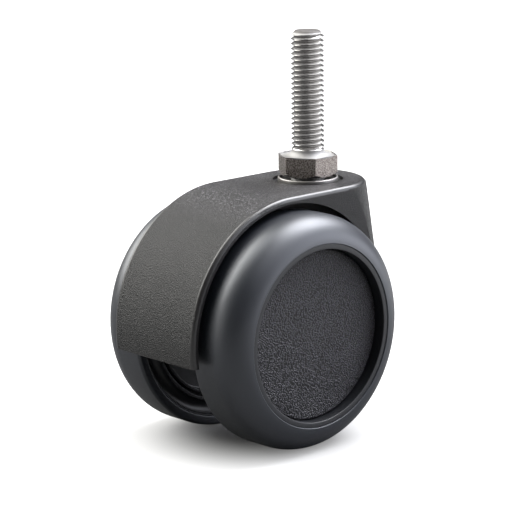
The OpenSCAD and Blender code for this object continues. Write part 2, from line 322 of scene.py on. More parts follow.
class Recipe(Nodes):
    """A material under construction."""

    def __init__(self, name: str) -> None:
        """Starts a material that holds one shader.

        Args:
            name: The material's name.
        """
        self.material = bpy.data.materials.new(name)
        self.material.use_nodes = True
        super().__init__(self.material.node_tree)
        self.shader = self.tree.nodes["Principled BSDF"]

    def place(self, centre: Vector | None = None,
              turn: tuple[float, float, float] = (0, 0, 0)) -> Socket:
        """Gives the piece's own coordinates, taken about a centre and turned."""
        own = self.add("TexCoord").outputs["Object"]
        centred = self.add("Mapping", Vector=own, Location=-(centre or Vector())).outputs[0]
        return self.add("Mapping", Vector=centred, Rotation=turn).outputs[0]

    def bump(self, height: Socket, strength: float,
             depth: float) -> Socket:
        """Turns a height into a normal, with a depth in millimetres."""
        return self.add("Bump", Height=height, Strength=strength, Distance=depth * MM).outputs[0]

    def shade(self, **inputs: object) -> Finish:
        """Sets or links inputs of the shader and gives the finished material."""
        for key, value in inputs.items():
            self.feed(self.shader, key.replace("_", " "), value)
        return self.material


class Effect(Nodes):
    """A shared effect under construction, which puts out values only."""

    def __init__(self, name: str, scale: str, usual: float, outputs: list[str]) -> None:
        """Starts an effect that takes a vector and a scale.

        Args:
            name: The effect's name.
            scale: The name of its scale, in features per metre.
            usual: The scale where a material gives no other.
            outputs: The names of the outputs.
        """
        super().__init__(bpy.data.node_groups.new(name, "ShaderNodeTree"))
        sockets = self.tree.interface
        sockets.new_socket(name="Vector", in_out="INPUT", socket_type="NodeSocketVector")
        sockets.new_socket(name=scale, in_out="INPUT",
                           socket_type="NodeSocketFloat").default_value = usual
        for key in outputs:
            sockets.new_socket(name=key, in_out="OUTPUT", socket_type="NodeSocketFloat")
        self.place, self.scale = self.tree.nodes.new("NodeGroupInput").outputs[:2]
        self.sink = self.tree.nodes.new("NodeGroupOutput")

    def noise(self, place: Socket | None = None, **inputs: float) -> Node:
        """Adds a noise at the effect's scale, over its own vector where no other is given."""
        return self.add("TexNoise", Vector=place or self.place, Scale=self.scale, **inputs)

    def give(self, **outputs: Socket) -> Tree:
        """Links the outputs and gives the finished effect."""
        for key, value in outputs.items():
            self.feed(self.sink, key, value)
        return self.tree


def sparked_grain() -> Tree:
    """Builds the matt grain that a spark-eroded mould leaves, as a height and a speckle."""
    effect = Effect("Sparked_grain", "Grain per m", 2000.0, ["Height", "Speckle"])
    grain = effect.noise(Detail=3.0, Roughness=0.7).outputs["Fac"]
    return effect.give(Height=grain, Speckle=effect.ramp(grain, From_Min=0.4, From_Max=0.68))


def pebbled_grain(wander: float = 0.00012) -> Tree:
    """Builds the leather-like pebbles of a textured moulding.

    Args:
        wander: How far the pebbles' edges stray, in metres.

    Returns:
        The effect, with the pebbles' height and the valleys between them.
    """
    effect = Effect("Pebbled_grain", "Pebbles per m", 1500.0, ["Height", "Valley"])
    stray = effect.noise(Detail=2.0).outputs["Color"]
    shifted = effect.vector("MULTIPLY_ADD", stray, (wander, wander, wander), effect.place)
    cells = effect.add("TexVoronoi", {"feature": "SMOOTH_F1"}, Vector=shifted.outputs[0],
                       Scale=effect.scale, Smoothness=0.3).outputs["Distance"]
    return effect.give(Height=effect.ramp(cells, From_Min=0.6, From_Max=0.22),
                       Valley=effect.ramp(cells, From_Min=0.45, From_Max=0.8))


def turned_lines() -> Tree:
    """Builds the fine rings that a lathe leaves about the Z axis, as a height."""
    effect = Effect("Turned_lines", "Lines per m", 6000.0, ["Height"])
    parts = effect.add("SeparateXYZ", Vector=effect.place).outputs
    squares = [effect.math("MULTIPLY", parts[axis], parts[axis]) for axis in ("X", "Y")]
    radius = effect.math("SQRT", effect.math("ADD", *squares))
    along = effect.add("CombineXYZ", X=radius, Y=parts["Z"]).outputs[0]
    return effect.give(Height=effect.noise(along, Detail=2.0).outputs["Fac"])


def slow_mottle() -> Tree:
    """Builds the broad uneven patches of a handled or moulded surface, as a mask."""
    effect = Effect("Slow_mottle", "Patches per m", 60.0, ["Mask"])
    return effect.give(Mask=effect.noise(Detail=4.0, Roughness=0.55).outputs["Fac"])


@dataclass(frozen=True)
class Effects:
    """The shared effects, each built once."""

    spark: Tree
    pebble: Tree
    rings: Tree
    mottle: Tree

    @classmethod
    def build(cls) -> "Effects":
        """Builds all the effects."""
        return cls(sparked_grain(), pebbled_grain(), turned_lines(), slow_mottle())


@dataclass(frozen=True)
class SparkedPlastic:
    """Black housing plastic with a spark-eroded grain, and pale specks on its level faces that are
    dust and painted glints.

    The pale specks, dust and painted glints, set in where a normal's height passes leaning, and lie
    fully from level on, so the top faces are painted lighter.
    """

    name: str = "sparked_housing_plastic"
    dark: Colour = (0.003, 0.003, 0.0035, 1)
    light: Colour = (0.009, 0.0087, 0.0089, 1)
    grain: float = 2600.0
    grain_depth: float = 0.35
    patches: float = 70.0
    smoothest: float = 0.36
    roughest: float = 0.48
    dust: Colour = (0.17, 0.163, 0.176, 1)
    dust_and_glint_amount: float = 1.0
    specks: float = 1900.0
    sparseness: float = 3.0
    leaning: float = 0.82
    level: float = 0.97
    ior: float = 1.4

    def build(self, effects: Effects) -> Finish:
        """Builds the material."""
        recipe = Recipe(self.name)
        own = recipe.place()
        grain = recipe.group(effects.spark, own, self.grain)
        mottle = recipe.group(effects.mottle, own, self.patches)
        colour = recipe.blend(grain["Speckle"], self.dark, self.light)
        facing = recipe.add("SeparateXYZ", Vector=recipe.add("TexCoord").outputs["Normal"])
        upward = recipe.ramp(facing.outputs["Z"], smooth=True, From_Min=self.leaning,
                             From_Max=self.level, To_Max=self.dust_and_glint_amount)
        # Pale specks on upward faces only: dust, and painted glints standing in for grazing light
        # on the top.
        specks = recipe.group(effects.spark, own, self.specks)
        sparse = recipe.math("POWER", specks["Speckle"], self.sparseness)
        dust_and_glint_colour = recipe.blend(recipe.math("MULTIPLY", sparse, upward), colour, self.dust)
        rough = recipe.ramp(mottle["Mask"], To_Min=self.smoothest, To_Max=self.roughest)
        return recipe.shade(Base_Color=dust_and_glint_colour, Roughness=rough, IOR=self.ior,
                            Normal=recipe.bump(grain["Height"], 1.0, self.grain_depth))


@dataclass(frozen=True)
class SoftTread:
    """Blue-grey tyre elastomer with a silky surface."""

    deep: Colour = (0.006, 0.0075, 0.011, 1)
    pale: Colour = (0.009, 0.0105, 0.015, 1)
    tint: Colour = (0.92, 0.95, 1.0, 1)
    grain: float = 3500.0
    grain_depth: float = 0.02
    relief: float = 0.25
    patches: float = 90.0
    smoothest: float = 0.40
    roughest: float = 0.46
    ior: float = 1.7

    def build(self, effects: Effects) -> Finish:
        """Builds the material."""
        recipe = Recipe("soft_tread")
        own = recipe.place()
        grain = recipe.group(effects.spark, own, self.grain)
        mask = recipe.group(effects.mottle, own, self.patches)["Mask"]
        rough = recipe.ramp(mask, To_Min=self.smoothest, To_Max=self.roughest)
        return recipe.shade(Base_Color=recipe.blend(mask, self.deep, self.pale), Roughness=rough,
                            Normal=recipe.bump(grain["Height"], self.relief, self.grain_depth),
                            IOR=self.ior, Specular_Tint=self.tint)


@dataclass(frozen=True)
class CorePlastic:
    """Charcoal core plastic with the faint rings of a turned mould."""

    centre: Vector
    dark: Colour = (0.005, 0.006, 0.008, 1)
    light: Colour = (0.009, 0.010, 0.013, 1)
    lines: float = 2400.0
    line_depth: float = 0.02
    relief: float = 0.35
    grain: float = 2600.0
    smoothest: float = 0.42
    roughest: float = 0.5
    ior: float = 1.5

    def build(self, effects: Effects) -> Finish:
        """Builds the material."""
        recipe = Recipe("turned_core_plastic")
        about_axle = recipe.place(self.centre, turn=(pi / 2, 0, 0))
        rings = recipe.group(effects.rings, about_axle, self.lines)
        grain = recipe.group(effects.spark, about_axle, self.grain)
        rough = recipe.ramp(rings["Height"], To_Min=self.smoothest, To_Max=self.roughest)
        return recipe.shade(Base_Color=recipe.blend(grain["Speckle"], self.dark, self.light),
                            Roughness=rough, IOR=self.ior,
                            Normal=recipe.bump(rings["Height"], self.relief, self.line_depth))


@dataclass(frozen=True)
class PebbledPlastic:
    """Black cap plastic, pebbled like fine leather, with painted highlights on the pebbles' crowns
    and painted shade in the valleys between them.
    """

    dark: Colour = (0.002, 0.002, 0.003, 1)
    light: Colour = (0.085, 0.083, 0.095, 1)
    pebbles: float = 2050.0
    pebble_depth: float = 0.3
    smoothest: float = 0.25
    roughest: float = 0.6
    ior: float = 1.4

    def build(self, effects: Effects) -> Finish:
        """Builds the material."""
        recipe = Recipe("pebbled_cap_plastic")
        pebble = recipe.group(effects.pebble, recipe.place(), self.pebbles)
        rough = recipe.ramp(pebble["Valley"], To_Min=self.smoothest, To_Max=self.roughest)
        # Painted highlight and painted shade: the pebbles' crowns take the pale colour and their
        # valleys the near-black one.
        return recipe.shade(Base_Color=recipe.blend(pebble["Height"], self.dark, self.light),
                            Roughness=rough, IOR=self.ior,
                            Normal=recipe.bump(pebble["Height"], 1.0, self.pebble_depth))


@dataclass(frozen=True)
class TurnedSteel:
    """Bright turned steel with fine lathe lines and painted shade in the thread's roots."""

    name: str = "turned_steel"
    bright: Colour = (0.62, 0.61, 0.60, 1)
    lines: float = 4200.0
    smoothest: float = 0.17
    roughest: float = 0.28
    painted_root_shade: Colour = (0.13, 0.124, 0.12, 1)
    root_r: float = 4.05
    unshaded_r: float = 4.3

    def build(self, effects: Effects) -> Finish:
        """Builds the material."""
        recipe = Recipe(self.name)
        own = recipe.place()
        across = recipe.vector("MULTIPLY", own, (1, 1, 0)).outputs[0]
        # Painted shade: faces near the axis, down in the thread's roots, are darkened, blending to
        # the bright colour a little further out.
        unshaded = recipe.ramp(recipe.vector("LENGTH", across).outputs["Value"],
                            From_Min=self.root_r * MM, From_Max=self.unshaded_r * MM)
        rings = recipe.group(effects.rings, own, self.lines)
        rough = recipe.ramp(rings["Height"], To_Min=self.smoothest, To_Max=self.roughest)
        return recipe.shade(Base_Color=recipe.blend(unshaded, self.painted_root_shade, self.bright),
                            Metallic=1.0, Roughness=rough)


@dataclass(frozen=True)
class DrawnSteel:
    """The dull brownish flats of the hexagon, with dark pits."""

    bright: Colour = (0.50, 0.46, 0.43, 1)
    dull: Colour = (0.06, 0.047, 0.04, 1)
    grain: float = 3000.0
    pit_depth: float = 0.08
    relief: float = 0.8
    roughness: float = 0.42

    def build(self, effects: Effects) -> Finish:
        """Builds the material."""
        recipe = Recipe("drawn_steel")
        grain = recipe.group(effects.spark, recipe.place(), self.grain)
        return recipe.shade(Base_Color=recipe.blend(grain["Speckle"], self.dull, self.bright),
                            Metallic=1.0, Roughness=self.roughness,
                            Normal=recipe.bump(grain["Height"], self.relief, self.pit_depth))


@dataclass(frozen=True)
class ZincedSteel:
    """Pale plated steel of the sleeve's rim and the hidden axle parts."""

    pale: Colour = (0.30, 0.292, 0.285, 1)
    dull: Colour = (0.26, 0.25, 0.24, 1)
    patches: float = 900.0
    roughness: float = 0.46

    def build(self, effects: Effects) -> Finish:
        """Builds the material."""
        recipe = Recipe("zinced_steel")
        mottle = recipe.group(effects.mottle, recipe.place(), self.patches)
        return recipe.shade(Base_Color=recipe.blend(mottle["Mask"], self.pale, self.dull),
                            Metallic=1.0, Roughness=self.roughness)


@dataclass(frozen=True)
class PaintedRimShade:
    """Near-black painted shade inside the sleeve's rim, where the hexagon shades it."""

    dark: Colour = (0.006, 0.005, 0.005, 1)
    light: Colour = (0.02, 0.018, 0.016, 1)
    patches: float = 700.0
    roughness: float = 0.45

    def build(self, effects: Effects) -> Finish:
        """Builds the material."""
        recipe = Recipe("painted_rim_shade")
        mottle = recipe.group(effects.mottle, recipe.place(), self.patches)
        return recipe.shade(Base_Color=recipe.blend(mottle["Mask"], self.dark, self.light),
                            Roughness=self.roughness)


def dress(piece: Piece, *materials: Finish) -> None:
    """Gives a piece its materials, the first of them for all faces that have no other."""
    piece.data.materials.clear()
    for material in materials:
        piece.data.materials.append(material)


def hand_over(piece: Piece, body: str, slot: str, *nodes: str) -> None:
    """Puts a finished piece on its body and hides the nodes it stands for."""
    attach(piece, body)
    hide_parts(*nodes)
    log.info("%s: %d faces, rides on %s", piece.name, len(piece.data.polygons), body)


@dataclass
class Stem:
    """The turned stem: thread, neck, hexagon with its turned face, and the swivel journal.

    Widths ending in _af are across flats; lead_in is the share of a pitch, and spare the length,
    that the trimmed thread loses. The run-out's heights count from the thread's start.
    """

    thread_d: float = 9.9
    pitch: float = 1.5
    root_depth: float = 0.86
    crest_w: float = 0.2
    root_w: float = 0.3
    thread_l: float = 37.2
    thread_start: float = 1.7
    lead_in: float = 0.3
    spare: float = 0.6
    sink: float = 1.0
    runout_low: float = 0.7
    runout_high: float = 0.9
    oversize: float = 0.1
    slack: float = 0.05
    tip_chamfer: float = 1.3
    flare_w: float = 2.5
    flare_h: float = 1.9
    flare_steps: int = 10
    hex_af: float = 16.0
    hex_h: float = 6.0
    face_r: float = 8.45
    face_sink: float = 0.4
    face_edge: float = 0.08
    corner_bevel: float = 0.14
    upright_share: float = 0.9
    flat_share: float = 0.45
    flat_tilt: float = 0.2
    tip_tilt: float = 0.6
    under_chamfer: float = 1.1
    under_angle: float = 42.0
    journal_d: float = 11.0
    end_chamfer: float = 1.0
    ring_wire_d: float = 1.2
    groove_share: float = 0.8
    cone_h: float = 1.0
    top_h: float = 1.3
    steps: int = 96
    smooth_angle: float = 28.0

    def thread(self) -> Piece:
        """Winds one pitch of the thread's outline up the shank and trims both ends."""
        crest_r = self.thread_d / 2
        root_r = crest_r - self.root_depth
        flank = (self.pitch - self.crest_w - self.root_w) / 2
        outline = [
            (root_r, 0), (root_r, self.root_w), (crest_r, self.root_w + flank),
            (crest_r, self.root_w + flank + self.crest_w), (root_r, self.pitch),
        ]
        thread = Bench.draw("thread", outline, closed=False)
        bpy.ops.object.mode_set(mode="OBJECT")
        turns = int(self.thread_l / self.pitch) + 2
        Bench.use(thread, "SCREW", axis="Z", angle=FULL_TURN, screw_offset=self.pitch * MM,
                  iterations=turns, steps=self.steps, render_steps=self.steps,
                  use_merge_vertices=True, merge_threshold=1e-6, use_normal_calculate=True)
        low = self.lead_in * self.pitch + self.pitch
        with Bench.opened(thread):
            Bench.trim((0, 0, low * MM), (0, 0, -1))
            Bench.trim((0, 0, (low + self.thread_l + self.spare) * MM), (0, 0, 1))
            Bench.close()
            bpy.ops.mesh.select_all(action="SELECT")
            bpy.ops.transform.translate(value=(0, 0, (self.thread_start - self.sink - low) * MM))
        return thread

    def thread_blank(self) -> Piece:
        """Turns the blank that the thread is cut in: a run-out cone below, a chamfer at the tip."""
        crest_r = self.thread_d / 2
        root_r = crest_r - self.root_depth
        wide = crest_r + self.oversize
        foot = self.thread_start - self.runout_low
        return Bench.lathe("thread_blank", rounded([
            Corner(0, foot), Corner(root_r + self.oversize, foot),
            Corner(wide, self.thread_start + self.runout_high),
            Corner(wide, self.thread_l - self.tip_chamfer - self.oversize),
            Corner(crest_r - self.tip_chamfer, self.thread_l, CRISP), Corner(0, self.thread_l),
        ], closed=False), self.steps, closed=False)

    def collar(self, end_z: float, ring_z: float) -> Piece:
        """Turns journal, collar, sunk face and neck, then mills the six flats.

        Args:
            end_z: Height of the journal's lower end in millimetres.
            ring_z: Height of the retaining ring's groove in millimetres.

        Returns:
            The turned and milled piece, without its thread.
        """
        journal_r = self.journal_d / 2
        groove_r = journal_r - self.ring_wire_d * self.groove_share
        groove_h = self.ring_wire_d / 2 + self.slack
        neck_r = self.thread_d / 2 - self.oversize
        corner_r = self.hex_af / 2 / cos(pi / 6) + self.slack
        chamfer_in = self.under_chamfer / tan(radians(self.under_angle))
        turns = [radians(90 * k / self.flare_steps) for k in range(self.flare_steps + 1)]
        flare = [Corner(neck_r + self.flare_w * (1 - sin(t)),
                        self.flare_h * (1 - cos(t)) - self.face_sink) for t in turns]
        points = rounded([
            Corner(0, end_z), Corner(journal_r - self.end_chamfer, end_z, CRISP),
            Corner(journal_r, end_z + self.end_chamfer, CRISP),
            Corner(journal_r, ring_z - groove_h, FINE), Corner(groove_r, ring_z - groove_h),
            Corner(groove_r, ring_z + groove_h), Corner(journal_r, ring_z + groove_h, FINE),
            Corner(journal_r, -self.hex_h), Corner(corner_r - chamfer_in, -self.hex_h, SMALL),
            Corner(corner_r, -self.hex_h + self.under_chamfer), Corner(corner_r, 0),
            Corner(self.face_r + self.slack, 0, self.face_edge),
            Corner(self.face_r - SMALL, -self.face_sink, SMALL),
            *flare, Corner(neck_r, self.thread_start),
            Corner(neck_r - self.root_depth, self.thread_start + self.cone_h),
            Corner(0, self.thread_start + self.top_h),
        ], closed=False)
        collar = Bench.lathe("turned_stem", points, self.steps * 2, closed=False)
        with Bench.opened(collar):
            for k in range(6):
                turn = radians(30 + 60 * k)
                normal = Vector((cos(turn), sin(turn), 0))
                Bench.trim(normal * self.hex_af / 2 * MM, normal)
            Bench.close()
        self.soften_corners(collar)
        return collar

    def soften_corners(self, collar: Piece) -> None:
        """Bevels the six upright edges of the hexagon a little."""
        with Bench.opened(collar):
            bpy.ops.mesh.select_all(action="DESELECT")
        reach = (self.hex_af / 2 / cos(pi / 6) - self.slack) * MM
        points = collar.data.vertices
        for edge in collar.data.edges:
            first, last = (points[i].co for i in edge.vertices)
            upright = abs(first.z - last.z) > self.upright_share * (first - last).length
            outside = min(first.xy.length, last.xy.length) > reach
            edge.select = upright and outside
        bpy.ops.object.mode_set(mode="EDIT")
        bpy.ops.mesh.bevel(offset=self.corner_bevel * MM, segments=3, affect="EDGES")
        bpy.ops.object.mode_set(mode="OBJECT")

    def build(self, end_z: float, ring_z: float) -> Piece:
        """Builds the whole stem as one solid."""
        thread = self.thread()
        Bench.combine(thread, self.thread_blank(), "INTERSECT")
        stem = self.collar(end_z, ring_z)
        Bench.combine(stem, thread, "UNION")
        return Bench.settle(stem, self.smooth_angle)

    def finish_faces(self, stem: Piece, turned: Finish, drawn: Finish, faced: Finish) -> None:
        """Gives each face of the stem the finish that its tool leaves.

        Args:
            stem: The built stem.
            turned: The finish of the thread, the chamfers and the journal.
            drawn: The finish of the hexagon's flats.
            faced: The finish of the sunk face, the flare, and the tip with its chamfer.
        """
        dress(stem, turned, drawn, faced)
        flat_r = self.flat_share * self.hex_af * MM
        sunk = -self.face_sink - self.slack
        flared = self.thread_start - self.oversize
        tip = self.thread_l - self.tip_chamfer
        for face in stem.data.polygons:
            height = face.center.z / MM
            milled = abs(face.normal.z) < self.flat_tilt and face.center.xy.length > flat_r
            on_tip = height > tip and face.normal.z > self.tip_tilt
            if milled and -self.hex_h < height < 0:
                face.material_index = 1
            elif sunk < height < flared or on_tip:
                face.material_index = 2


@dataclass
class Sleeve:
    """The pressed sleeve, whose rolled rim shows round the hexagon."""

    bore_r: float = 5.55
    outer_r: float = 7.0
    length: float = 18.0
    flange_r: float = 9.1
    seat_z: float = -8.5
    floor_z: float = -7.5
    rim_z: float = -6.7
    rim_wall: float = 0.7
    rim_share: float = 0.48
    rim_inside: float = 0.9
    bare_share: float = 0.4
    reach: float = 0.02

    def build(self) -> Piece:
        """Turns the sleeve about the swivel axis."""
        foot = self.seat_z - self.length
        rim_round = self.rim_wall * self.rim_share
        points = rounded([
            Corner(self.bore_r, foot, FINE), Corner(self.outer_r, foot, SOFT),
            Corner(self.outer_r, self.seat_z), Corner(self.flange_r, self.seat_z, SOFT),
            Corner(self.flange_r, self.rim_z, rim_round),
            Corner(self.flange_r - self.rim_wall, self.rim_z, rim_round * self.rim_inside),
            Corner(self.flange_r - self.rim_wall, self.floor_z, SMALL),
            Corner(self.bore_r, self.floor_z, SMALL),
        ])
        return Bench.settle(Bench.lathe("rolled_sleeve", points))

    def finish_faces(self, sleeve: Piece, plated: Finish, painted_shade: Finish) -> None:
        """Gives the faces inside the rim, up to its bare edge, a near-black painted shade, and
        plates all others.
        """
        dress(sleeve, plated, painted_shade)
        inner_r = self.flange_r - self.rim_wall
        bare_z = self.rim_z - self.rim_wall * self.bare_share
        for face in sleeve.data.polygons:
            # Painted shade: faces inside the rim and below its bare edge get the near-black finish.
            inside = face.center.xy.length < (inner_r + self.reach) * MM
            above = self.seat_z < face.center.z / MM < bare_z
            if inside and above:
                face.material_index = 1


@dataclass
class Wheel:
    """One wheel: the soft tyre, the ringed core and the pebbled cap."""

    side: Side
    centre: Vector
    radius: float
    inner_w: float
    outer_w: float
    shoulder_r: float = 8.7
    inner_edge_r: float = 0.85
    side_h: float = 2.8
    tyre_t: float = 3.6
    core_sink: float = 0.3
    flange_t: float = 2.0
    ring_w: float = 1.6
    recess_r: float = 25.5
    recess_depth: float = 3.0
    ledge_w: float = 2.0
    cap_t: float = 1.6
    cap_gap: float = 0.2
    cap_chamfer: float = 0.5
    cap_crown: float = 0.6
    snap_h: float = 2.0
    snap_wall: float = 1.5
    hub_r: float = 8.0
    hub_in_w: float = 11.9
    hub_sink: float = 3.4
    web_sink: float = 1.8
    web_t: float = 2.5
    web_round: float = 0.8
    back_round: float = 0.5
    bore_r: float = 4.05
    step_w: float = 0.9
    step_sink: float = 0.2
    groove_h: float = 2.0
    land: float = 0.4
    rib_t: float = 1.6
    rib_root: float = 0.4
    rib_bevel: float = 0.2
    ribs: int = 6
    cap_edge: float = 0.12
    crown_steps: int = 12
    shoulder_steps: int = 26
    seat_steps: int = 12
    dish_steps: int = 16
    dish_edge: float = 5.0
    tyre_steps: int = 192
    core_steps: int = 144
    lip_back: float = 1.2
    lip_drop: float = 0.16
    lip_h: float = 0.7

    @classmethod
    def from_frame(cls, side: Side) -> "Wheel":
        """Takes the wheel's place and main sizes from its tyre in the frame."""
        low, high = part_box("tyre_" + side.word)
        centre = (low + high) / 2
        centre.y = 0
        across = sorted((abs(low.y) / MM, abs(high.y) / MM))
        return cls(side, centre, (high.x - low.x) / 2 / MM, across[0], across[1])

    @property
    def drum_r(self) -> float:
        """Radius of the bare ring's outer edge, where the tyre ends."""
        return self.recess_r + self.ring_w

    @property
    def core_out_w(self) -> float:
        """Distance of the bare ring from the middle plane."""
        return self.outer_w - self.core_sink

    @property
    def core_in_w(self) -> float:
        """Distance of the core's inner side from the middle plane."""
        return self.inner_w + self.core_sink

    @property
    def rim_r(self) -> float:
        """Radius of the core under the tyre's tread."""
        return self.radius - self.tyre_t

    @property
    def flange_r(self) -> float:
        """Radius of the core's flange, beside the tyre's inner edge."""
        return self.radius - self.side_h

    @property
    def shoulder(self) -> tuple[float, float]:
        """Centre of the round shoulder, as radius and distance from the middle plane."""
        return self.radius - self.shoulder_r, self.outer_w - self.shoulder_r

    @property
    def seat(self) -> list[Corner]:
        """The round shoulder of the core, which the tyre sits on."""
        seat_r = self.shoulder_r - self.tyre_t
        return arc(self.shoulder, seat_r, 0, self.shoulder_end(seat_r), self.seat_steps)

    def shoulder_end(self, radius: float) -> float:
        """Angle in degrees at which a circle about the shoulder's centre meets the bare ring."""
        height = self.drum_r - self.shoulder[0]
        return atan2(sqrt(radius ** 2 - height ** 2), height) * 180 / pi

    @property
    def cap_back_w(self) -> float:
        """Distance of the cap's back from the middle plane."""
        return self.core_out_w - self.recess_depth - self.cap_t

    def put_on_axle(self, piece: Piece) -> Piece:
        """Turns a piece that stands on Z onto the axle, on its own side."""
        piece.rotation_euler = (-self.side.value * pi / 2, 0, 0)
        piece.location = self.centre
        return Bench.settle(piece)

    def tyre(self) -> Piece:
        """Turns the tyre with its round shoulder and its crisp inner edge."""
        flange_w = self.core_in_w + self.flange_t
        lip = self.shoulder_end(self.shoulder_r) - self.lip_back
        corners = [
            Corner(self.flange_r, self.core_in_w), Corner(self.flange_r, self.inner_w, EASED),
            Corner(self.radius, self.inner_w, self.inner_edge_r),
            *arc(self.shoulder, self.shoulder_r, 0, lip, self.shoulder_steps),
            Corner(self.drum_r, self.outer_w - self.lip_drop, self.cap_edge),
            Corner(self.drum_r, self.outer_w - self.lip_h), *reversed(self.seat),
            Corner(self.rim_r, flange_w), Corner(self.flange_r, flange_w),
        ]
        name = "soft_tyre_" + self.side.word
        return self.put_on_axle(Bench.lathe(name, rounded(corners), self.tyre_steps))

    def core(self) -> Piece:
        """Turns the core: bare ring, recess, web and hub, and the rings on its inner side."""
        core_in, flange_w = self.core_in_w, self.core_in_w + self.flange_t
        hub_out = self.cap_back_w - self.hub_sink
        web_in = hub_out - self.web_sink - self.web_t
        web_out = web_in + self.web_t
        step_r = self.drum_r + self.step_w / 2
        deep_r = step_r - 3 * self.step_w
        dish_r = self.flange_r - self.land
        dish = (dish_r - step_r) / 2
        step_z = core_in + self.step_sink
        groove_z = step_z + self.groove_h
        ledge_r = self.recess_r - self.ledge_w
        corners = [
            Corner(self.bore_r, self.hub_in_w, CRISP), Corner(self.hub_r, self.hub_in_w, SOFT),
            Corner(self.hub_r, web_in, self.web_round), Corner(deep_r, web_in, self.web_round),
            Corner(deep_r, step_z, SMALL), Corner(deep_r + self.step_w, step_z, SMALL),
            Corner(deep_r + self.step_w, groove_z, SOFT),
            Corner(step_r - self.step_w, groove_z, SOFT),
            Corner(step_r - self.step_w, step_z, SMALL),
            *arc((step_r + dish, core_in), dish, 180 - self.dish_edge, self.dish_edge,
                 self.dish_steps),
            Corner(dish_r, core_in, CRISP), Corner(self.flange_r, core_in, CRISP),
            Corner(self.flange_r, flange_w), Corner(self.rim_r, flange_w), *self.seat,
            Corner(self.drum_r, self.core_out_w, CRISP),
            Corner(self.recess_r, self.core_out_w, EASED),
            Corner(self.recess_r, self.cap_back_w), Corner(ledge_r, self.cap_back_w, CRISP),
            Corner(ledge_r, web_out, self.back_round), Corner(self.hub_r, web_out, self.back_round),
            Corner(self.hub_r, hub_out, SOFT), Corner(self.bore_r, hub_out, CRISP),
        ]
        core = Bench.lathe("ringed_core_" + self.side.word, rounded(corners), self.core_steps)
        Bench.combine(core, self.rib_star(web_out), "UNION")
        return self.put_on_axle(core)

    def rib_star(self, web_top: float) -> Piece:
        """Models one rib behind the cap and copies it round the hub."""
        root = self.rib_root
        reach = self.recess_r - self.ledge_w + root
        top = self.cap_back_w - self.snap_h - SOFT
        start = self.hub_r - root
        Bench.clear()
        bpy.ops.mesh.primitive_cube_add(
            size=1, location=((start + reach) / 2 * MM, 0, (web_top - root + top) / 2 * MM),
            scale=((reach - start) * MM, self.rib_t * MM, (top - web_top + root) * MM),
        )
        star = bpy.context.active_object
        Bench.settle(star)
        Bench.use(star, "BEVEL", width=self.rib_bevel * MM, segments=2, limit_method="ANGLE")
        with Bench.opened(star):
            for _ in range(self.ribs - 1):
                bpy.ops.mesh.duplicate()
                bpy.ops.transform.rotate(value=FULL_TURN / self.ribs, orient_axis="Z",
                                         center_override=(0, 0, 0))
        return star

    def cap(self) -> Piece:
        """Turns the cap's crowned disc with its chamfered edge and snap ring."""
        cap_r = self.recess_r - self.cap_gap
        snap_r = self.recess_r - self.ledge_w - self.cap_gap
        face_w = self.cap_back_w + self.cap_t
        face_r = cap_r - self.cap_chamfer
        snap_w = self.cap_back_w - self.snap_h
        steps = self.crown_steps
        crown = [Corner(face_r * k / steps, face_w + self.cap_crown * (1 - (k / steps) ** 2))
                 for k in range(steps)]
        points = rounded([
            *crown, Corner(face_r, face_w, self.cap_edge),
            Corner(cap_r, face_w - self.cap_chamfer, self.cap_edge),
            Corner(cap_r, self.cap_back_w, FINE), Corner(snap_r, self.cap_back_w, FINE),
            Corner(snap_r, snap_w, SOFT), Corner(snap_r - self.snap_wall, snap_w, SOFT),
            Corner(snap_r - self.snap_wall, self.cap_back_w, SOFT), Corner(0, self.cap_back_w),
        ], closed=False)
        name = "pebbled_cap_" + self.side.word
        return self.put_on_axle(Bench.lathe(name, points, self.core_steps, closed=False))


@dataclass
class Housing:
    """The moulded housing: hood, nose and the inner box with its socket and boss.

    A face narrower than rounding_w counts as a rounding, unless it lies on the nose, whose walls
    lean less than draft.
    """

    edge_bevel: float = 0.18
    sharp_angle: float = 40.0
    flat_angle: float = 0.5
    smooth_angle: float = 28.0
    rounding_w: float = 0.25
    draft: float = 0.3

    def build(self) -> Piece:
        """Takes the frame's shape, joins its faces and rounds its sharp edges.

        Returns:
            The housing, shaded afresh with normals that follow its largest faces.
        """
        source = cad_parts["housing"]
        Bench.clear()
        housing = source.copy()
        housing.data = source.data.copy()
        housing.name = "moulded_housing"
        housing.parent = None
        for key in list(housing.keys()):
            del housing[key]
        bpy.context.scene.collection.objects.link(housing)
        with Bench.opened(housing):
            bpy.ops.mesh.remove_doubles(threshold=2e-3 * MM)
            bpy.ops.mesh.dissolve_limited(angle_limit=radians(self.flat_angle), delimit={"NORMAL"})
        bpy.ops.mesh.customdata_custom_splitnormals_clear()
        Bench.use(housing, "BEVEL", width=self.edge_bevel * MM, segments=2, limit_method="ANGLE",
                  angle_limit=radians(self.sharp_angle), harden_normals=False)
        Bench.settle(housing, self.smooth_angle)
        Bench.use(housing, "WEIGHTED_NORMAL", mode="FACE_AREA", keep_sharp=True)
        return housing

    def finish_faces(self, housing: Piece, grained: Finish, rubbed: Finish) -> None:
        """Gives the narrow faces of roundings the rubbed finish, and all else the grain."""
        dress(housing, grained, rubbed)
        points = housing.data.vertices
        for face in housing.data.polygons:
            outline = [points[i].co for i in face.vertices]
            longest = max((outline[i] - outline[i - 1]).length for i in range(len(outline)))
            on_nose = face.center.x > 0 and abs(face.normal.z) < self.draft
            if face.area < self.rounding_w * MM * longest and not on_nose:
                face.material_index = 1


def toward(azimuth: float, elevation: float) -> Vector:
    """Gives the direction at an azimuth from +X towards +Y and a height angle, both in degrees."""
    turn, lift = radians(azimuth), radians(elevation)
    return Vector((cos(turn) * cos(lift), sin(turn) * cos(lift), sin(lift)))


@dataclass(frozen=True)
class Panel:
    """A soft white panel on the room's wall, which shiny surfaces mirror."""

    azimuth: float
    elevation: float
    core_angle: float
    fade_angle: float
    level: float


